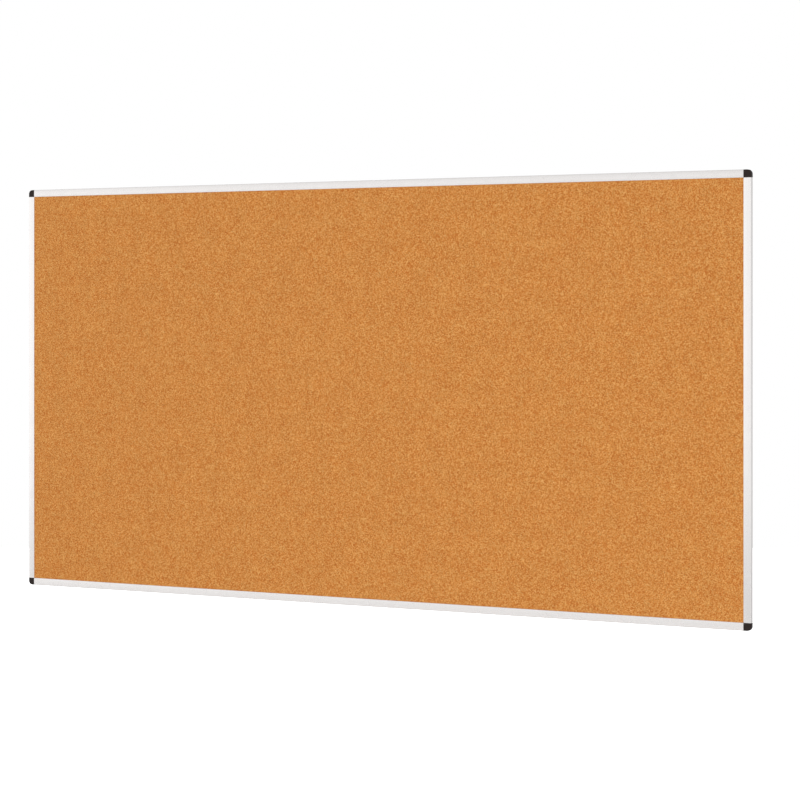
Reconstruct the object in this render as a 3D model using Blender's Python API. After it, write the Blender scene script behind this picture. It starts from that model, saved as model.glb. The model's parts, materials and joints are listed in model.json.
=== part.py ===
"""Cork bulletin board, 2.4 m wide and 1.2 m high, in an aluminium frame with black plastic corners.

The board hangs on a wall. The wall is the plane y = 0, the cork faces -Y, X runs along the width and +Z is
up. The origin is the middle of the board's outline, on the wall plane.

Sections are drawn in two distances: `inward` from the frame's outer edge, and `forward` from the wall.
A rail is modelled once as the top one and a corner once as the top left one, and each is turned about Y.
"""

import math

import bmesh
import bpy
from mathutils import Matrix, Vector

MM = 0.001

# Driving dimensions of the whole board
BOARD_WIDTH = 2400 * MM
BOARD_HEIGHT = 1200 * MM
FRAME_DEPTH = 12.7 * MM
FACE_WIDTH = 21 * MM
CORNER_RADIUS = 12 * MM
TOUCH_GAP = 0.3 * MM

# Aluminium rail section
CROWN_RISE = 0.6 * MM
OUTER_FILLET = 2 * MM
OUTER_WALL = 1.2 * MM
BACK_WALL = 1.1 * MM
WEB_START = 13 * MM
WEB_END = 14 * MM
BACK_FLANGE_REACH = 19 * MM
LIP_UNDERSIDE = 11.2 * MM
BACK_EDGE_CHAMFER = 0.3 * MM

# Layers of the panel, from the wall forward. Its edge lies inside the frame, under the rails' lips
PANEL_EDGE = WEB_END + 0.6 * MM
BACKING_THICKNESS = 0.4 * MM
CORK_EDGE_THICKNESS = 1.8 * MM
BACKING_BACK = BACK_WALL + TOUCH_GAP
CORE_BACK = BACKING_BACK + BACKING_THICKNESS + TOUCH_GAP
CORK_EDGE_FRONT = LIP_UNDERSIDE - TOUCH_GAP
CORK_BACK = CORK_EDGE_FRONT - CORK_EDGE_THICKNESS
CORE_FRONT = CORK_BACK - TOUCH_GAP

# The cork is pinched under the lips and swells to its full thickness just inside them
CORK_PINCH_END = FACE_WIDTH + TOUCH_GAP
CORK_SWELL_WIDTH = 1.2 * MM
CORK_SWELL = 0.4 * MM

# Plastic corner: a body that joins two rails, and a cover over its wall screw
CORNER_REACH = FACE_WIDTH - TOUCH_GAP
BODY_FRONT = 4.7 * MM
COVER_BACK = BODY_FRONT + TOUCH_GAP
COVER_SKIRT = 1.2 * MM
LEG_LENGTH = 45 * MM
LEG_ROOT = 12 * MM
LEG_GUIDE_LENGTH = 3 * MM
LEG_GUIDE_INSET = 1.5 * MM
POCKET_CENTRE = 9 * MM
POCKET_RADIUS = 4.5 * MM
POCKET_WALL = 1.2 * MM
POCKET_SEAT = 2.4 * MM
POCKET_RIM = 9.5 * MM
WALL_HOLE_RADIUS = 3 * MM
PEG_ALONG = 17 * MM
PEG_RADIUS = 1.3 * MM
PEG_TIP = 4.5 * MM
PEG_CHAMFER = 0.4 * MM
SOCKET_FLOOR = 3.2 * MM

# Countersunk screw that holds a rail on a corner's leg, driven from the back
SCREW_ALONG = FACE_WIDTH + 22 * MM
CHAMBER_MIDDLE = (OUTER_WALL + WEB_START) / 2
SCREW_HEAD_BACK = 0.2 * MM
SCREW_HEAD_RADIUS = 2.7 * MM
SCREW_SHANK_RADIUS = 1.35 * MM
SCREW_POINT_RADIUS = 0.35 * MM
SCREW_LENGTH = 8 * MM
SCREW_POINT_LENGTH = 1.4 * MM
RECESS_WIDTH = 0.7 * MM
RECESS_LENGTH = 2.8 * MM
RECESS_DEPTH = 0.9 * MM
PILOT_RADIUS = 1.9 * MM
PILOT_DEPTH = 9.2 * MM

# A cutter or a joined piece reaches this far past the surface that it passes through
PASS = 1 * MM
BEYOND_FRONT = FRAME_DEPTH + PASS

CROWN_STEPS = 8
FILLET_STEPS = 8
CORNER_STEPS = 18
ROUND_SIDES = 24
SMOOTH_ANGLE = math.radians(35)

# How far the top left corner is turned about Y to make each corner
CORNERS = {"top_left": 0, "top_right": 90, "bottom_right": 180, "bottom_left": 270}


def clear_scene():
    for obj in list(bpy.data.objects):
        bpy.data.objects.remove(obj, do_unlink=True)


def material(name, colour, roughness, metallic=0.0):
    made = bpy.data.materials.new(name)
    made.use_nodes = True
    shader = made.node_tree.nodes["Principled BSDF"]
    shader.inputs["Base Color"].default_value = (*colour, 1.0)
    shader.inputs["Roughness"].default_value = roughness
    shader.inputs["Metallic"].default_value = metallic
    return made


def mesh_of(bm, name):
    """The finished mesh of a bmesh: doubles merged and normals outward."""
    bmesh.ops.remove_doubles(bm, verts=bm.verts, dist=0.001 * MM)
    bmesh.ops.recalc_face_normals(bm, faces=bm.faces)
    mesh = bpy.data.meshes.new(name)
    bm.to_mesh(mesh)
    bm.free()
    return mesh


def add_object(name, mesh, finish, location=(0, 0, 0), turn=0):
    """An object of the mesh at a location, turned about Y by that many degrees."""
    obj = bpy.data.objects.new(name, mesh)
    bpy.context.scene.collection.objects.link(obj)
    obj.location = location
    obj.rotation_euler = (0, math.radians(turn), 0)
    if finish and not mesh.materials:
        mesh.materials.append(finish)
    return obj


def combined(base, others, operation):
    """The mesh that a Boolean of the base with each of the other meshes in turn leaves."""
    for other in others:
        target = add_object("target", base, None)
        tool = add_object("tool", other, None)
        boolean = target.modifiers.new("combine", "BOOLEAN")
        boolean.operation = operation
        boolean.object = tool
        bpy.context.view_layer.update()
        graph = bpy.context.evaluated_depsgraph_get()
        base = bpy.data.meshes.new_from_object(target.evaluated_get(graph))
        bpy.data.objects.remove(target)
        bpy.data.objects.remove(tool)
    base.materials.clear()
    return base


def smoothed(mesh):
    mesh.shade_smooth()
    mesh.set_sharp_from_angle(angle=SMOOTH_ANGLE)
    return mesh


def extrude(bm, faces, direction):
    """Extrude the faces into a solid, and give the vertices of its far end."""
    grown = bmesh.ops.extrude_face_region(bm, geom=faces)["geom"]
    far_end = [item for item in grown if isinstance(item, bmesh.types.BMVert)]
    bmesh.ops.translate(bm, vec=direction, verts=far_end)
    return far_end


def box_bmesh(low, high):
    bm = bmesh.new()
    low, high = Vector(low), Vector(high)
    bmesh.ops.create_cube(bm, size=1.0)
    bmesh.ops.scale(bm, vec=high - low, verts=bm.verts)
    bmesh.ops.translate(bm, vec=(low + high) / 2, verts=bm.verts)
    return bm


def box(low, high):
    return mesh_of(box_bmesh(low, high), "box")


def turned(centre, profile):
    """A solid turned about an axis along Y: the profile is a list of (radius, forward), back to front."""
    bm = bmesh.new()
    angles = [2 * math.pi * step / ROUND_SIDES for step in range(ROUND_SIDES)]
    rings = []
    for radius, forward in profile:
        middle = Vector(centre) - Vector((0, forward, 0))
        spokes = [Vector((math.cos(angle), 0, math.sin(angle))) for angle in angles]
        rings.append([bm.verts.new(middle + radius * spoke) for spoke in spokes])
    for near, far in zip(rings, rings[1:]):
        for step in range(ROUND_SIDES):
            after = (step + 1) % ROUND_SIDES
            bm.faces.new((near[step], near[after], far[after], far[step]))
    bm.faces.new(rings[0])
    bm.faces.new(rings[-1])
    return mesh_of(bm, "turned")


def cylinder(centre, radius, back, front):
    return turned(centre, [(radius, back), (radius, front)])


def arc(centre, radius, start, end, steps):
    """Points on a circle from one angle to another, both in radians."""
    angles = [start + (end - start) * step / steps for step in range(steps + 1)]
    spokes = [(math.cos(angle), math.sin(angle)) for angle in angles]
    return [(centre[0] + radius * across, centre[1] + radius * up) for across, up in spokes]


def crown_height(inward):
    """How far forward the frame's slightly convex front face stands, at a distance from its outer edge."""
    middle = FACE_WIDTH / 2
    return FRAME_DEPTH - CROWN_RISE * ((inward - middle) / middle) ** 2


def outer_fillet():
    """The fillet from the frame's side to its front face, as (inward, forward) points."""
    centre = (OUTER_FILLET, crown_height(OUTER_FILLET) - OUTER_FILLET)
    return arc(centre, OUTER_FILLET, math.pi, math.pi / 2, FILLET_STEPS)


def crown(end):
    """The front face from the end of the fillet to a distance inward, as (inward, forward) points."""
    step = (end - OUTER_FILLET) / CROWN_STEPS
    places = [OUTER_FILLET + step * number for number in range(1, CROWN_STEPS + 1)]
    return [(inward, crown_height(inward)) for inward in places]


def lip_nose():
    """The rounded inner edge of the rail's lip, from its front face round to its underside."""
    radius = (crown_height(FACE_WIDTH) - LIP_UNDERSIDE) / 2
    centre = (FACE_WIDTH - radius, LIP_UNDERSIDE + radius)
    return arc(centre, radius, math.pi / 2, -math.pi / 2, FILLET_STEPS)


def rail_outline():
    """The rail's section: fillet, crowned face, lip, the channel that holds the panel, and the back."""
    nose = lip_nose()
    channel_and_back = [
        (WEB_END, LIP_UNDERSIDE),
        (WEB_END, BACK_WALL),
        (BACK_FLANGE_REACH, BACK_WALL),
        (BACK_FLANGE_REACH, BACK_EDGE_CHAMFER),
        (BACK_FLANGE_REACH - BACK_EDGE_CHAMFER, 0),
        (BACK_EDGE_CHAMFER, 0),
        (0, BACK_EDGE_CHAMFER),
    ]
    return outer_fillet() + crown(nose[0][0]) + nose[1:] + channel_and_back


def rail_chamber():
    """The closed chamber along the rail, which takes the legs of the corners."""
    low = (OUTER_WALL, BACK_WALL)
    high = (WEB_START, LIP_UNDERSIDE)
    return [low, (high[0], low[1]), high, (low[0], high[1])]


def rail_mesh(length):
    """A top rail of this length, with its middle at x = 0 and its outer face at z = 0."""
    bm = bmesh.new()
    for loop in (rail_outline(), rail_chamber()):
        points = [bm.verts.new((-length / 2, -forward, -inward)) for inward, forward in loop]
        for first, second in zip(points, points[1:] + points[:1]):
            bm.edges.new((first, second))
    bmesh.ops.triangle_fill(bm, use_beauty=True, edges=bm.edges)
    extrude(bm, bm.faces[:], (length, 0, 0))
    rail = mesh_of(bm, "rail")
    from_middle = length / 2 + FACE_WIDTH - SCREW_ALONG
    holes = [turned((side * from_middle, 0, -CHAMBER_MIDDLE), countersink()) for side in (-1, 1)]
    return smoothed(combined(rail, holes, "DIFFERENCE"))


def countersink():
    """The conical hole through the rail's back wall, parallel to the screw's head and a gap outside it."""
    widest = SCREW_HEAD_RADIUS + SCREW_HEAD_BACK + TOUCH_GAP * math.sqrt(2)
    start, end = -PASS, BACK_WALL + PASS
    return [(widest - start, start), (widest - end, end)]


def corner_path(offset, reach=CORNER_REACH):
    """The corner's rounded outline at a distance inside its outer edge, from one rail's end to the other's.

    Points are (distance from the side face, distance from the top face). Further in than the corner's
    radius, the arc has shrunk to a sharp corner.
    """
    radius = max(CORNER_RADIUS - offset, 0)
    centre = (offset + radius, offset + radius)
    bend = arc(centre, radius, math.pi, 1.5 * math.pi, CORNER_STEPS)
    return [(offset, reach)] + bend + [(reach, offset)]


def corner_block(offset, back, front, reach=CORNER_REACH):
    """A block with the corner's rounded outline, from one distance forward to another."""
    bm = bmesh.new()
    outline = corner_path(offset, reach) + [(reach, reach)]
    face = bm.faces.new([bm.verts.new((across, -back, -down)) for across, down in outline])
    extrude(bm, [face], (0, back - front, 0))
    return mesh_of(bm, "block")


def on_both_legs(along, inward, forward):
    """A box on each leg, from three (least, most) pairs: along the leg, inward and forward."""
    sideways = box((along[0], -forward[1], -inward[1]), (along[1], -forward[0], -inward[0]))
    downward = box((inward[0], -forward[1], -along[1]), (inward[1], -forward[0], -along[0]))
    return [sideways, downward]


def both_places(along, inward):
    """A place on each leg, as points on the wall plane."""
    return [(along, 0, -inward), (inward, 0, -along)]


def leg_solids():
    """The two legs that plug into the rails' chambers, each with a slimmer end that guides it in."""
    inward = (OUTER_WALL + TOUCH_GAP, WEB_START - TOUCH_GAP)
    forward = (BACK_WALL + TOUCH_GAP, LIP_UNDERSIDE - TOUCH_GAP)
    slim_inward = (inward[0] + LEG_GUIDE_INSET, inward[1] - LEG_GUIDE_INSET)
    slim_forward = (forward[0] + LEG_GUIDE_INSET, forward[1] - LEG_GUIDE_INSET)
    end = FACE_WIDTH + LEG_LENGTH
    shoulder = end - LEG_GUIDE_LENGTH
    legs = on_both_legs((LEG_ROOT, shoulder), inward, forward)
    guides = on_both_legs((shoulder - PASS, end), slim_inward, slim_forward)
    return legs + guides


def corner_body_mesh():
    """The corner's body: wall block, two legs and a tube round the wall screw, with the holes cut."""
    centre = (POCKET_CENTRE, 0, -POCKET_CENTRE)
    tube = cylinder(centre, POCKET_RADIUS + POCKET_WALL, PASS, POCKET_RIM)
    body = combined(corner_block(0, 0, BODY_FRONT), leg_solids() + [tube], "UNION")
    seat = box((WEB_END, -BEYOND_FRONT, -FACE_WIDTH), (FACE_WIDTH, -BACK_WALL, -WEB_END))
    pocket = cylinder(centre, POCKET_RADIUS, POCKET_SEAT, BEYOND_FRONT)
    wall_hole = cylinder(centre, WALL_HOLE_RADIUS, -PASS, POCKET_SEAT + PASS)
    sockets = [
        cylinder(place, PEG_RADIUS + TOUCH_GAP, SOCKET_FLOOR, BEYOND_FRONT)
        for place in both_places(PEG_ALONG, CHAMBER_MIDDLE)
    ]
    pilots = [
        cylinder(place, PILOT_RADIUS, 0, PILOT_DEPTH)
        for place in both_places(SCREW_ALONG, CHAMBER_MIDDLE)
    ]
    return smoothed(combined(body, [seat, pocket, wall_hole] + sockets + pilots, "DIFFERENCE"))


def cover_block():
    """The cover before it is hollowed: outlines of the corner, each further in and on the frame's crown."""
    bm = bmesh.new()
    section = [(0, COVER_BACK)] + outer_fillet() + crown(CORNER_REACH)
    rings = []
    for offset, forward in section:
        rings.append([bm.verts.new((across, -forward, -down)) for across, down in corner_path(offset)])
    for lower, upper in zip(rings, rings[1:]):
        for step in range(len(lower) - 1):
            bm.faces.new((lower[step], lower[step + 1], upper[step + 1], upper[step]))
    inner_back = bm.verts.new((CORNER_REACH, -COVER_BACK, -CORNER_REACH))
    bm.faces.new(rings[0] + [inner_back])
    bm.faces.new([ring[0] for ring in rings] + [inner_back])
    bm.faces.new([ring[-1] for ring in rings] + [inner_back])
    return mesh_of(bm, "cover")


def cover_mesh():
    """The press-on cover: a shell with a skirt on its two outer sides and two pegs on its inside."""
    hollow = corner_block(COVER_SKIRT, COVER_BACK - PASS, LIP_UNDERSIDE, FACE_WIDTH + PASS)
    shell = combined(cover_block(), [hollow], "DIFFERENCE")
    root = (LIP_UNDERSIDE + crown_height(CORNER_REACH)) / 2
    peg = [(PEG_RADIUS - PEG_CHAMFER, PEG_TIP), (PEG_RADIUS, PEG_TIP + PEG_CHAMFER), (PEG_RADIUS, root)]
    pegs = [turned(place, peg) for place in both_places(PEG_ALONG, CHAMBER_MIDDLE)]
    return smoothed(combined(shell, pegs, "UNION"))


def screw_mesh():
    """A countersunk screw with a cross recess, its head at the back and its point forward."""
    point = SCREW_HEAD_BACK + SCREW_LENGTH
    profile = [
        (SCREW_HEAD_RADIUS, SCREW_HEAD_BACK),
        (SCREW_SHANK_RADIUS, SCREW_HEAD_BACK + SCREW_HEAD_RADIUS - SCREW_SHANK_RADIUS),
        (SCREW_SHANK_RADIUS, point - SCREW_POINT_LENGTH),
        (SCREW_POINT_RADIUS, point),
    ]
    half_width, half_length = RECESS_WIDTH / 2, RECESS_LENGTH / 2
    floor = SCREW_HEAD_BACK + RECESS_DEPTH
    recess = [
        box((-half_length, -floor, -half_width), (half_length, PASS, half_width)),
        box((-half_width, -floor, -half_length), (half_width, PASS, half_length)),
    ]
    return smoothed(combined(turned((0, 0, 0), profile), recess, "DIFFERENCE"))


def panel_layer(back, front):
    """One flat layer of the panel, as a bmesh."""
    half_width = BOARD_WIDTH / 2 - PANEL_EDGE
    half_height = BOARD_HEIGHT / 2 - PANEL_EDGE
    return box_bmesh((-half_width, -front, -half_height), (half_width, -back, half_height))


def cork_mesh():
    """The cork layer: its front is pinched along the edges and stands higher between the rails' lips."""
    bm = panel_layer(CORK_BACK, CORK_EDGE_FRONT)
    bm.normal_update()
    field = [face for face in bm.faces if face.normal.y < -0.5]
    for width in (CORK_PINCH_END - PANEL_EDGE, CORK_SWELL_WIDTH):
        bmesh.ops.inset_region(bm, faces=field, thickness=width, use_even_offset=True)
    bmesh.ops.translate(bm, vec=(0, -CORK_SWELL, 0), verts=field[0].verts)
    return mesh_of(bm, "cork")


def add_panel():
    """The cork, its softboard core and the backing sheet, one behind the other."""
    cork = material("cork", (0.604, 0.246, 0.065), 0.9)
    softboard = material("softboard", (0.42, 0.29, 0.17), 0.95)
    zinc = material("zinc_sheet", (0.55, 0.57, 0.58), 0.45, 1.0)
    core = mesh_of(panel_layer(CORE_BACK, CORE_FRONT), "core")
    backing = mesh_of(panel_layer(BACKING_BACK, BACKING_BACK + BACKING_THICKNESS), "backing")
    add_object("cork_sheet", cork_mesh(), cork)
    add_object("softboard_core", core, softboard)
    add_object("backing_sheet", backing, zinc)


def add_rails():
    """The four rails. Each ends where a corner begins, and opposite rails share one mesh."""
    aluminium = material("anodised_aluminium", (0.80, 0.79, 0.77), 0.35, 1.0)
    across = rail_mesh(BOARD_WIDTH - 2 * FACE_WIDTH)
    upright = rail_mesh(BOARD_HEIGHT - 2 * FACE_WIDTH)
    add_object("top_rail", across, aluminium, (0, 0, BOARD_HEIGHT / 2), 0)
    add_object("right_rail", upright, aluminium, (BOARD_WIDTH / 2, 0, 0), 90)
    add_object("bottom_rail", across, aluminium, (0, 0, -BOARD_HEIGHT / 2), 180)
    add_object("left_rail", upright, aluminium, (-BOARD_WIDTH / 2, 0, 0), 270)


def corner_point(corner):
    """Where the frame's outer faces would meet at this corner, on the wall plane."""
    x = BOARD_WIDTH / 2 if corner.endswith("right") else -BOARD_WIDTH / 2
    z = BOARD_HEIGHT / 2 if corner.startswith("top") else -BOARD_HEIGHT / 2
    return Vector((x, 0, z))


def add_corners():
    """At each corner: the body, its cover, and a screw through each rail into one of the body's legs."""
    black = material("black_plastic", (0.02, 0.018, 0.017), 0.42)
    steel = material("zinc_plated_steel", (0.62, 0.62, 0.60), 0.3, 1.0)
    body, cover, screw = corner_body_mesh(), cover_mesh(), screw_mesh()
    for corner, turn in CORNERS.items():
        place = corner_point(corner)
        around = Matrix.Rotation(math.radians(turn), 3, "Y")
        add_object(f"corner_body_{corner}", body, black, place, turn)
        add_object(f"corner_cover_{corner}", cover, black, place, turn)
        for number, spot in enumerate(both_places(SCREW_ALONG, CHAMBER_MIDDLE), start=1):
            add_object(f"leg_screw_{corner}_{number}", screw, steel, place + around @ Vector(spot), turn)


clear_scene()
add_panel()
add_rails()
add_corners()
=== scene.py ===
"""The looks of the cork bulletin board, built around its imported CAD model.

The cork face is a finely gridded sheet that swells softly between the rails' lips. Every other piece is a
copy of its CAD node with its faces merged and its sharp edges broken. Each takes a procedural material.
"""

import json
import math

import bmesh
import bpy
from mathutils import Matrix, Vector, noise

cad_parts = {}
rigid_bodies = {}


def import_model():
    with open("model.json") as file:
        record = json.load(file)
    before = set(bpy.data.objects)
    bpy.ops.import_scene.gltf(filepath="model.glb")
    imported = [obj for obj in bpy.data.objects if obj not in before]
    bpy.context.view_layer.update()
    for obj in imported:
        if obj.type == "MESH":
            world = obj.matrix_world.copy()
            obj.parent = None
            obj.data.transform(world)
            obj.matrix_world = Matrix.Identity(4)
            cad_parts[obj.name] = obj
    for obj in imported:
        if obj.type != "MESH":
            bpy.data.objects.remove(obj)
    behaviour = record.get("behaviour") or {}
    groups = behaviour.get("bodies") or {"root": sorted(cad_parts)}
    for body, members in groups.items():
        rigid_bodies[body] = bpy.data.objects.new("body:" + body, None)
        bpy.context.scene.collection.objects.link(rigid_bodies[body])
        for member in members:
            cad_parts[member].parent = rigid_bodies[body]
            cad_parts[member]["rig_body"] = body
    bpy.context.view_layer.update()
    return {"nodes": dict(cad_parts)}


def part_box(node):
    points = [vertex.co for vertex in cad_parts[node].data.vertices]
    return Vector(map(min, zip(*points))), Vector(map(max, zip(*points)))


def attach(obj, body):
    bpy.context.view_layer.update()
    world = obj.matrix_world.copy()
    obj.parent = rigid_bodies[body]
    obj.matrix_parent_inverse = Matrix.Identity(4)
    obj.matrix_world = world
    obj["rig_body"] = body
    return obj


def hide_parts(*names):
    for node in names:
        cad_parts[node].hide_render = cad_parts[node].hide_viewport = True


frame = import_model()

MM = 0.001

# The cork sheet: flat where the rails' lips pinch it, then a soft swell and slow waves over the field. Its
# grid has close rows along each edge and wide ones between
CORK_SWELL = 0.4 * MM
CORK_SWELL_RUN = 4 * MM
CORK_WAVE_DEPTH = 0.08 * MM
CORK_WAVE_LENGTH = 140 * MM
CORK_EDGE_STEP = 0.5 * MM
CORK_EDGE_ROWS = 24
CORK_FIELD_STEP = 16 * MM

# The CAD pieces' edges that are sharper than the arris angle are rounded off by at most this much. Where that
# would make arrises overlap, the bevel's clamp narrows all of the piece's arrises
RAIL_ARRIS = 0.15 * MM
PLASTIC_ARRIS = 0.2 * MM
STEEL_ARRIS = 0.08 * MM
ARRIS_ANGLE = math.radians(30)
ARRIS_STEPS = 2
ROUND_PROFILE = 0.5

# Before that, faces within the flat angle of each other are merged. After it, edges under the smooth angle
# are shaded smooth, and the shading normals follow the larger faces by this weight out of 100
WELD_DISTANCE = 0.002 * MM
FLAT_ANGLE = math.radians(0.3)
SMOOTH_ANGLE = math.radians(32)
LARGE_FACE_WEIGHT = 100

# Camera, level, at the photograph's place
CAMERA_PLACE = (4.278, -6.717, 0.229)
CAMERA_HEADING = math.radians(31.75)
CAMERA_LENS = 126.9
CAMERA_SHIFT = -0.1099
CAMERA_REACH = 500

# A pale floor. A strip of painted light lies across it in front of the board, where the floor glows by its
# own emission though it is no lamp. The glow rises and falls away over these (first, last) places along Y
FLOOR_HEIGHT = -1.5
FLOOR_RADIUS = 13
FLOOR_SIDES = 64
FLOOR_GREY = 0.89
STRIP_START = (-1.6, -2.3)
STRIP_END = (-4.0, -5.2)
PAINTED_STRIP_GLOW = 0.41

# A white surround, dimmer overhead and behind the board and brighter to the left. Each row has an axis, the
# (first, last) direction along it, and the share that the brightness goes to between them
SURROUND = 1.06
SURROUND_CHANGES = (
    ("Z", (0.0, 0.28), 0.71),
    ("Y", (-0.1, 0.6), 0.73),
    ("X", (-0.34, -0.44), 1.04),
    ("X", (-0.56, -0.70), 1.12),
    ("X", (-0.76, -0.88), 0.98),
)

# A softbox high in front on the right, and a long low one that lights the cork from below without showing in
# the rails
SOFTBOX_PLACE = (5.5, -6.0, 3.0)
SOFTBOX_SIZE = (3, 3)
SOFTBOX_POWER = 60
FILL_PLACE = (0.4, -1.7, -1.35)
FILL_SIZE = (5, 0.3)
FILL_POWER = 7

# Each material's tones, as (place, colour) stops from the darkest to the lightest
CORK_TONES = (
    (0.08, (0.526, 0.114, 0.011)),
    (0.30, (0.607, 0.191, 0.032)),
    (0.50, (0.697, 0.275, 0.059)),
    (0.72, (0.779, 0.368, 0.098)),
    (0.95, (0.861, 0.509, 0.176)),
)
BARK = (0.20, 0.055, 0.012, 1)
ALUMINIUM_TONES = ((0.25, (0.836, 0.810, 0.797)), (0.75, (0.896, 0.870, 0.857)))
BLACK_TONES = ((0.3, (0.019, 0.012, 0.010)), (0.7, (0.025, 0.016, 0.014)))
SPANGLE_TONES = (
    (0.15, (0.525, 0.545, 0.560)),
    (0.50, (0.585, 0.605, 0.615)),
    (0.85, (0.645, 0.662, 0.668)),
)
SOFTBOARD_TONES = ((0.30, (0.26, 0.17, 0.10)), (0.55, (0.42, 0.30, 0.19)), (0.75, (0.56, 0.43, 0.29)))
PLATING_TONES = ((0.35, (0.60, 0.63, 0.66)), (0.65, (0.70, 0.69, 0.63)))

# The middle of a noise's range, from 0 to 1, which a cloudy value follows
CLOUD_RANGE = (0.3, 0.7)
WHITE = (1, 1, 1, 1)

CORNERS = ("top_left", "top_right", "bottom_right", "bottom_left")


# -------------------------------------------------------------------------------------- nodes and materials

class Nodes:
    """A node tree, with short methods for the nodes that the materials and the surround share."""

    def __init__(self, tree):
        self.tree = tree

    def add(self, kind, **settings):
        """A new node of this kind with these settings."""
        node = self.tree.nodes.new(kind)
        for name, value in settings.items():
            setattr(node, name, value)
        return node

    def feed(self, socket, value):
        """Gives a socket its value, which is another socket or a constant."""
        if isinstance(value, bpy.types.NodeSocket):
            self.tree.links.new(value, socket)
        else:
            socket.default_value = value

    def math(self, operation, first, second):
        """The result of an operation such as ADD on two values."""
        node = self.add("ShaderNodeMath", operation=operation)
        self.feed(node.inputs[0], first)
        self.feed(node.inputs[1], second)
        return node.outputs[0]

    def weighted(self, first, second, share):
        """The sum of the first value's share and the rest of the second."""
        return self.math("ADD", self.math("MULTIPLY", first, share), self.math("MULTIPLY", second, 1 - share))

    def between(self, value, limits, results):
        """The value carried smoothly from its limits to the results, and held past them."""
        node = self.add("ShaderNodeMapRange", interpolation_type="SMOOTHSTEP")
        self.feed(node.inputs[0], value)
        for socket, number in zip(node.inputs[1:5], (*limits, *results)):
            socket.default_value = number
        return node.outputs[0]

    def axes(self, direction):
        """A place's or direction's X, Y and Z, by name."""
        node = self.add("ShaderNodeSeparateXYZ")
        self.feed(node.inputs[0], direction)
        return node.outputs

    def seen_by_camera(self):
        """1 for what the camera sees directly, and 0 for what reflections and light show."""
        return self.add("ShaderNodeLightPath").outputs["Is Camera Ray"]


class Finish(Nodes):
    """A material, with one short method for each kind of texture or colour that the pieces use."""

    def __init__(self, name, roughness, metallic=0.0, specular=0.5):
        self.material = bpy.data.materials.new(name)
        self.material.use_nodes = True
        super().__init__(self.material.node_tree)
        self.shader = self.tree.nodes["Principled BSDF"]
        self.shader.inputs["Roughness"].default_value = roughness
        self.shader.inputs["Metallic"].default_value = metallic
        self.shader.inputs["Specular IOR Level"].default_value = specular
        self.place = self.add("ShaderNodeTexCoord").outputs["Object"]

    def scaled(self, place, factors):
        """The place stretched or squeezed along each axis."""
        node = self.add("ShaderNodeVectorMath", operation="MULTIPLY")
        self.feed(node.inputs[0], place)
        self.feed(node.inputs[1], factors)
        return node.outputs[0]

    def noise(self, place, size, detail=2.0):
        """Smooth noise from 0 to 1 whose features are about this size."""
        node = self.add("ShaderNodeTexNoise")
        self.feed(node.inputs["Vector"], place)
        self.feed(node.inputs["Scale"], 1 / size)
        self.feed(node.inputs["Detail"], detail)
        return node.outputs["Fac"]

    def ragged(self, place, size, reach):
        """The place moved about by up to this reach, so that cells drawn with it have ragged outlines."""
        node = self.add("ShaderNodeTexNoise")
        self.feed(node.inputs["Vector"], place)
        self.feed(node.inputs["Scale"], 1 / size)
        shift = self.add("ShaderNodeVectorMath", operation="MULTIPLY_ADD")
        self.feed(shift.inputs[0], node.outputs["Color"])
        self.feed(shift.inputs[1], (2 * reach,) * 3)
        self.feed(shift.inputs[2], place)
        return shift.outputs[0]

    def cells(self, place, size):
        """Two random numbers from 0 to 1 for each cell of about this size."""
        node = self.add("ShaderNodeTexVoronoi")
        self.feed(node.inputs["Vector"], place)
        self.feed(node.inputs["Scale"], 1 / size)
        parts = self.add("ShaderNodeSeparateColor")
        self.feed(parts.inputs[0], node.outputs["Color"])
        return parts.outputs[0], parts.outputs[1]

    def seams(self, place, size, width):
        """1 inside the cells of about this size, falling to 0 along their seams of this width."""
        node = self.add("ShaderNodeTexVoronoi", feature="DISTANCE_TO_EDGE")
        self.feed(node.inputs["Vector"], place)
        self.feed(node.inputs["Scale"], 1 / size)
        return self.between(node.outputs["Distance"], (0, width / size), (0, 1))

    def ramp(self, value, stops):
        """The colour that lies at this value between (place, colour) stops."""
        node = self.add("ShaderNodeValToRGB")
        self.feed(node.inputs[0], value)
        elements = node.color_ramp.elements
        for place, _ in stops[1:-1]:
            elements.new(place)
        for element, (place, colour) in zip(elements, stops):
            element.position = place
            element.color = (*colour, 1.0)
        return node.outputs[0]

    def mixed(self, share, first, second, blend="MIX"):
        """The first colour with this share of the second mixed in, or multiplied in."""
        node = self.add("ShaderNodeMix", data_type="RGBA", blend_type=blend)
        factor, first_colour, second_colour = node.inputs[0], node.inputs[6], node.inputs[7]
        self.feed(factor, share)
        self.feed(first_colour, first)
        self.feed(second_colour, second)
        return node.outputs[2]

    def shaded(self, colour, brightness):
        """The colour multiplied by a brightness that varies over the surface."""
        grey = self.add("ShaderNodeCombineColor")
        for socket in grey.inputs[:3]:
            self.feed(socket, brightness)
        return self.mixed(1.0, colour, grey.outputs[0], "MULTIPLY")

    def bump(self, height, distance):
        """Relief that rises by this distance from a height of 0 to 1."""
        node = self.add("ShaderNodeBump")
        self.feed(node.inputs["Distance"], distance)
        self.feed(node.inputs["Height"], height)
        self.feed(self.shader.inputs["Normal"], node.outputs[0])

    def colour(self, value):
        self.feed(self.shader.inputs["Base Color"], value)

    def roughness(self, value):
        self.feed(self.shader.inputs["Roughness"], value)


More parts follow.
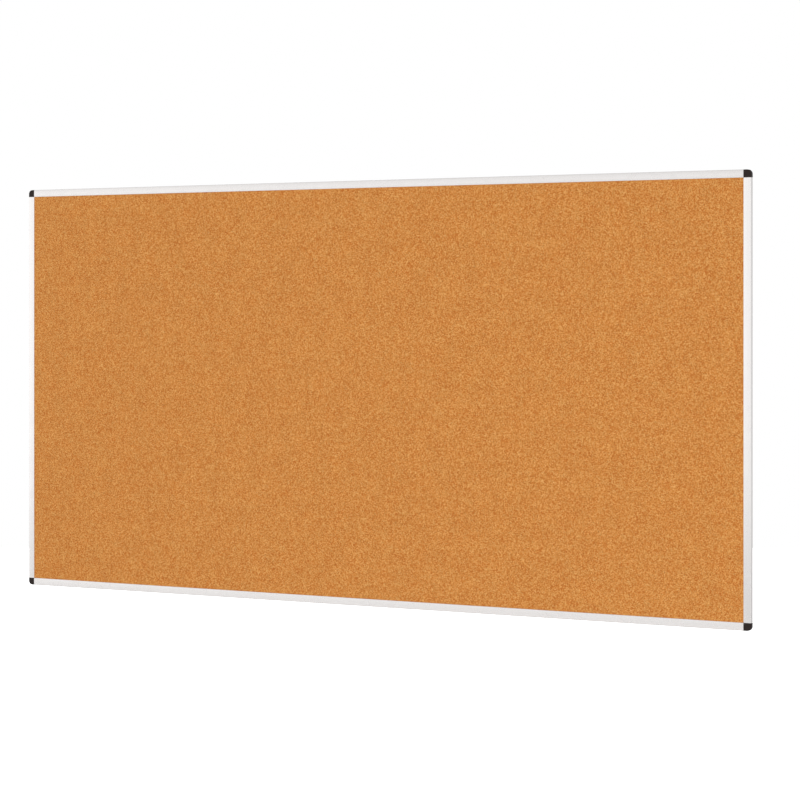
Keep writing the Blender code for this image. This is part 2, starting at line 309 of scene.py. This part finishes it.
def cork():
    """Pressed natural cork: granules of several tones in two sizes, dark bark flecks, darker seams."""
    granule, small_granule = 2.4 * MM, 1.2 * MM
    bark_chance, most_bark = (0.955, 0.985), 0.75
    seam_width, seam_shade = 0.4 * MM, 0.80
    finish = Finish("cork_granules", roughness=0.88, specular=0.25)
    place = finish.ragged(finish.place, size=1.6 * MM, reach=0.7 * MM)
    tone, lift = finish.cells(place, granule)
    small_tone, chance = finish.cells(place, small_granule)
    granules = finish.ramp(finish.weighted(tone, small_tone, share=0.62), CORK_TONES)
    flecked = finish.mixed(finish.between(chance, bark_chance, (0, most_bark)), granules, BARK)
    inside = finish.seams(place, granule, seam_width)
    seamed = finish.shaded(flecked, finish.between(inside, (0, 1), (seam_shade, 1)))
    patches = finish.noise(finish.place, size=55 * MM, detail=3)
    finish.colour(finish.shaded(seamed, finish.between(patches, CLOUD_RANGE, (0.975, 1.025))))
    finish.bump(finish.weighted(lift, inside, share=0.5), distance=0.12 * MM)
    return finish.material


def aluminium(along):
    """Satin anodised aluminium: fine extrusion lines along the rail, and a faint cloudiness.

    The lines blur reflections across themselves, so the tangent, along which the blur is wider, runs
    round the rail's own direction.
    """
    line_width_over_length = 0.004
    finish = Finish(f"anodised_aluminium_{along}", roughness=0.26, metallic=1.0)
    finish.shader.inputs["Anisotropic"].default_value = 0.75
    tangent = finish.add("ShaderNodeTangent", direction_type="RADIAL", axis=along.upper())
    finish.feed(finish.shader.inputs["Tangent"], tangent.outputs[0])
    grain = (line_width_over_length, 1, 1) if along == "x" else (1, 1, line_width_over_length)
    lines = finish.noise(finish.scaled(finish.place, grain), size=0.35 * MM, detail=3)
    clouds = finish.noise(finish.place, size=25 * MM, detail=3)
    finish.colour(finish.ramp(lines, ALUMINIUM_TONES))
    finish.roughness(finish.between(clouds, CLOUD_RANGE, (0.24, 0.28)))
    finish.bump(lines, distance=0.004 * MM)
    return finish.material


def black_plastic():
    """Injection-moulded black plastic with a fine spark-eroded grain."""
    finish = Finish("moulded_black_plastic", roughness=0.4, specular=0.17)
    grain, _ = finish.cells(finish.ragged(finish.place, size=0.5 * MM, reach=0.2 * MM), size=0.45 * MM)
    clouds = finish.noise(finish.place, size=6 * MM)
    finish.colour(finish.ramp(clouds, BLACK_TONES))
    finish.roughness(finish.between(clouds, CLOUD_RANGE, (0.36, 0.46)))
    finish.bump(grain, distance=0.015 * MM)
    return finish.material


def zinc_sheet():
    """Hot-dip galvanised sheet: frosted and shiny spangles with feathered outlines."""
    finish = Finish("galvanised_spangle", roughness=0.4, metallic=1.0)
    upright_grain = (1, 1, 0.15)
    place = finish.ragged(finish.place, size=4 * MM, reach=3 * MM)
    shade, frost = finish.cells(place, size=11 * MM)
    feathers = finish.noise(finish.scaled(place, upright_grain), size=1.5 * MM, detail=3)
    tone = finish.weighted(shade, feathers, share=0.65)
    finish.colour(finish.ramp(tone, SPANGLE_TONES))
    finish.roughness(finish.between(frost, (0, 1), (0.34, 0.48)))
    finish.bump(tone, distance=0.01 * MM)
    return finish.material


def softboard():
    """Wood-fibre softboard: matted fibres, brown with paler strands."""
    finish = Finish("softboard_fibres", roughness=0.95, specular=0.2)
    level_grain = (0.25, 1, 1)
    place = finish.ragged(finish.place, size=3 * MM, reach=1.5 * MM)
    strands = finish.noise(finish.scaled(place, level_grain), size=0.5 * MM, detail=4)
    finish.colour(finish.ramp(strands, SOFTBOARD_TONES))
    finish.bump(strands, distance=0.15 * MM)
    return finish.material


def zinc_plating():
    """Zinc-plated steel with a faint blue and straw cast."""
    finish = Finish("zinc_plated_steel", roughness=0.3, metallic=1.0)
    clouds = finish.noise(finish.place, size=1.5 * MM)
    finish.colour(finish.ramp(clouds, PLATING_TONES))
    finish.roughness(finish.between(clouds, CLOUD_RANGE, (0.24, 0.36)))
    finish.bump(clouds, distance=0.01 * MM)
    return finish.material


# --------------------------------------------------------------------------------------------------- pieces

def add_piece(name, bm, node, material):
    """A new piece that stands for a CAD node, rides on its body and takes the given material in its slot."""
    cad = frame["nodes"][node]
    mesh = bpy.data.meshes.new(name)
    bm.to_mesh(mesh)
    bm.free()
    mesh.materials.append(material)
    mesh.shade_smooth()
    mesh.set_sharp_from_angle(angle=SMOOTH_ANGLE)
    piece = bpy.data.objects.new(name, mesh)
    bpy.context.scene.collection.objects.link(piece)
    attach(piece, cad["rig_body"])
    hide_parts(node)
    return piece


def add_refined(node, material, arris):
    """A copy of a CAD node with its flat faces merged and its sharp edges broken.

    Its shading normals follow the larger faces, so a broken edge doesn't bend the light along the face.
    """
    bm = bmesh.new()
    bm.from_mesh(frame["nodes"][node].data)
    bmesh.ops.remove_doubles(bm, verts=bm.verts, dist=WELD_DISTANCE)
    bmesh.ops.dissolve_limit(bm, angle_limit=FLAT_ANGLE, verts=bm.verts, edges=bm.edges)
    sharp = [edge for edge in bm.edges if edge.is_manifold and edge.calc_face_angle() > ARRIS_ANGLE]
    bmesh.ops.bevel(bm, geom=sharp, offset=arris, segments=ARRIS_STEPS,
                    profile=ROUND_PROFILE, affect="EDGES", clamp_overlap=True)
    bmesh.ops.triangulate(bm, faces=[face for face in bm.faces if len(face.verts) > 4])
    piece = add_piece(f"{node}_finished", bm, node, material)
    flat_faces = piece.modifiers.new("flat_faces", "WEIGHTED_NORMAL")
    flat_faces.weight = LARGE_FACE_WEIGHT
    flat_faces.keep_sharp = True


def grid_lines(low, high):
    """Places from one edge of the cork to the other: close together at the edges, wide apart between."""
    edge = [CORK_EDGE_STEP * row for row in range(CORK_EDGE_ROWS)]
    start, end = low + edge[-1], high - edge[-1]
    count = max(round((end - start) / CORK_FIELD_STEP), 1)
    field = [start + (end - start) * step / count for step in range(1, count)]
    return [low + step for step in edge] + field + [high - step for step in reversed(edge)]


def cork_height(x, z, low, high, pinch):
    """How far the cork's face stands in front of its pinched edge."""
    inside = min(x - low.x, high.x - x, z - low.z, high.z - z) - pinch
    share = min(max(inside / CORK_SWELL_RUN, 0), 1)
    swell = math.sin(share * math.pi / 2)
    wave = noise.noise(Vector((x, z, 0)) / CORK_WAVE_LENGTH)
    return swell * (CORK_SWELL - CORK_WAVE_DEPTH + CORK_WAVE_DEPTH * wave)


def add_grid(bm, rows):
    """Adds the faces between rows of vertices, and returns the vertices round their rim in order."""
    for lower, upper in zip(rows, rows[1:]):
        for column in range(len(lower) - 1):
            bm.faces.new((lower[column], lower[column + 1], upper[column + 1], upper[column]))
    left, right = [row[0] for row in rows], [row[-1] for row in rows]
    return rows[0] + right[1:] + rows[-1][-2::-1] + left[-2:0:-1]


def add_cork():
    """The cork sheet as a closed gridded solid with a softly swollen face."""
    low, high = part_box("cork_sheet")
    lip_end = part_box("top_rail")[0].z
    pinch = high.z - lip_end
    edge_front = low.y + CORK_SWELL
    lines_x, lines_z = grid_lines(low.x, high.x), grid_lines(low.z, high.z)
    bm = bmesh.new()
    front, back = [], []
    for z in lines_z:
        heights = [cork_height(x, z, low, high, pinch) for x in lines_x]
        front.append([bm.verts.new((x, edge_front - height, z)) for x, height in zip(lines_x, heights)])
        back.append([bm.verts.new((x, high.y, z)) for x in lines_x])
    rim = list(zip(add_grid(bm, front), add_grid(bm, back)))
    for (front_here, back_here), (front_next, back_next) in zip(rim, rim[1:] + rim[:1]):
        bm.faces.new((front_here, front_next, back_next, back_here))
    bmesh.ops.recalc_face_normals(bm, faces=bm.faces)
    add_piece("cork_face", bm, "cork_sheet", cork())


def add_pieces():
    plastic, steel = black_plastic(), zinc_plating()
    add_cork()
    add_refined("softboard_core", softboard(), RAIL_ARRIS)
    add_refined("backing_sheet", zinc_sheet(), STEEL_ARRIS)
    across, upright = aluminium("x"), aluminium("z")
    for side, metal in (("top", across), ("bottom", across), ("left", upright), ("right", upright)):
        add_refined(f"{side}_rail", metal, RAIL_ARRIS)
    for corner in CORNERS:
        add_refined(f"corner_body_{corner}", plastic, PLASTIC_ARRIS)
        add_refined(f"corner_cover_{corner}", plastic, PLASTIC_ARRIS)
        for number in (1, 2):
            add_refined(f"leg_screw_{corner}_{number}", steel, STEEL_ARRIS)


# ---------------------------------------------------------------------------------------- light and camera

def add_floor():
    """A round pale floor glowing in a painted strip of light, plain white to the camera as in a cut-out
    photograph.
    """
    bm = bmesh.new()
    bmesh.ops.create_circle(bm, cap_ends=True, segments=FLOOR_SIDES, radius=FLOOR_RADIUS)
    mesh = bpy.data.meshes.new("floor")
    bm.to_mesh(mesh)
    bm.free()
    floor = bpy.data.objects.new("floor", mesh)
    floor.location.z = FLOOR_HEIGHT
    bpy.context.scene.collection.objects.link(floor)
    finish = Finish("pale_floor", roughness=0.9, specular=0.2)
    finish.colour((FLOOR_GREY, FLOOR_GREY, FLOOR_GREY, 1))
    finish.shader.inputs["Emission Color"].default_value = WHITE
    y = finish.axes(finish.place)["Y"]
    # painted light: the floor's own emission makes a bright strip in front of the board, with no lamp above
    # it
    rise = finish.between(y, STRIP_START, (0, PAINTED_STRIP_GLOW))
    fall = finish.between(y, STRIP_END, (1, 0))
    painted_glow = finish.math("MAXIMUM", finish.seen_by_camera(), finish.math("MULTIPLY", rise, fall))
    finish.feed(finish.shader.inputs["Emission Strength"], painted_glow)
    mesh.materials.append(finish.material)


def add_surround():
    """A white surround whose brightness changes by direction, plain white or brighter to the camera."""
    world = bpy.data.worlds.new("studio")
    world.use_nodes = True
    nodes = Nodes(world.node_tree)
    direction = nodes.axes(nodes.add("ShaderNodeTexCoord").outputs["Generated"])
    brightness = SURROUND
    for axis, limits, share in SURROUND_CHANGES:
        brightness = nodes.math("MULTIPLY", brightness, nodes.between(direction[axis], limits, (1, share)))
    background = world.node_tree.nodes["Background"]
    background.inputs["Color"].default_value = WHITE
    nodes.feed(background.inputs["Strength"], nodes.math("MAXIMUM", nodes.seen_by_camera(), brightness))
    bpy.context.scene.world = world


def add_softbox(name, place, size, power):
    """An area light of this width and height that faces the middle of the board."""
    light = bpy.data.lights.new(name, "AREA")
    light.shape = "RECTANGLE"
    light.energy = power
    light.size, light.size_y = size
    softbox = bpy.data.objects.new(name, light)
    softbox.location = place
    softbox.rotation_euler = (-Vector(place)).to_track_quat("-Z", "Y").to_euler()
    softbox.visible_camera = False
    bpy.context.scene.collection.objects.link(softbox)
    return softbox


def add_camera():
    camera = bpy.data.objects.new("camera", bpy.data.cameras.new("camera"))
    camera.location = CAMERA_PLACE
    camera.rotation_euler = (math.pi / 2, 0, CAMERA_HEADING)
    camera.data.lens = CAMERA_LENS
    camera.data.shift_y = CAMERA_SHIFT
    camera.data.clip_end = CAMERA_REACH
    bpy.context.scene.collection.objects.link(camera)
    bpy.context.scene.camera = camera


add_pieces()
add_floor()
add_surround()
add_softbox("softbox", SOFTBOX_PLACE, SOFTBOX_SIZE, SOFTBOX_POWER)
add_softbox("low_fill", FILL_PLACE, FILL_SIZE, FILL_POWER).visible_glossy = False
add_camera()
bpy.context.scene.view_settings.view_transform = "Standard"
